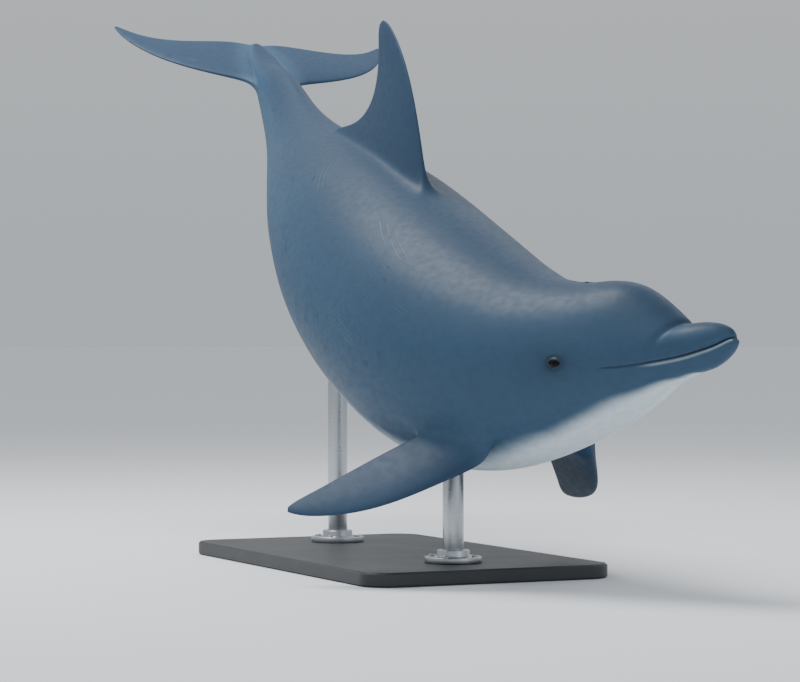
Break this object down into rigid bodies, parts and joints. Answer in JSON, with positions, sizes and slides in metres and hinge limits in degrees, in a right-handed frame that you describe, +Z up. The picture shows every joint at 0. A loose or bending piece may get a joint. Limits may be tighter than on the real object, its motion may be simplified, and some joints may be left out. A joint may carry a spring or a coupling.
{
  "type": "bottlenose dolphin display model",
  "caption": "Life-size bottlenose dolphin in a banked swimming turn with its back arched, held above a flat base by upright rods, as a museum model.",
  "frame": {"origin": "on the floor, below the middle of the whole object's box", "axes": "+Z up, +X toward the beak along the line from tail to beak, +Y to the animal's left"},
  "size_m": [2.3952, 0.9342, 1.3097],
  "materials": {
    "skin_back": "smooth satin skin, bluish grey",
    "skin_belly": "smooth satin skin, pale grey",
    "skin_fins": "smooth satin skin, dark bluish grey",
    "eyes": "wet, nearly black",
    "stand_plate": "board painted satin charcoal",
    "stand_rods": "brushed"
  },
  "bodies": {
    "root": {"head": "skin_back", "neck": "skin_back", "chest": "skin_back", "trunk": "skin_back", "loin": "skin_back", "tail_stock": "skin_back", "upper_jaw": "skin_back", "lower_jaw": "skin_belly", "dorsal_fin": "skin_fins", "flipper_left": "skin_fins", "flipper_right": "skin_fins", "fluke_left": "skin_fins", "fluke_right": "skin_fins", "eye_left": "eyes", "eye_right": "eyes", "stand_base": "stand_plate", "stand_rod_front": "stand_rods", "stand_rod_rear": "stand_rods", "stand_flange_front": "stand_rods", "stand_flange_rear": "stand_rods"}
  },
  "joints": []
}
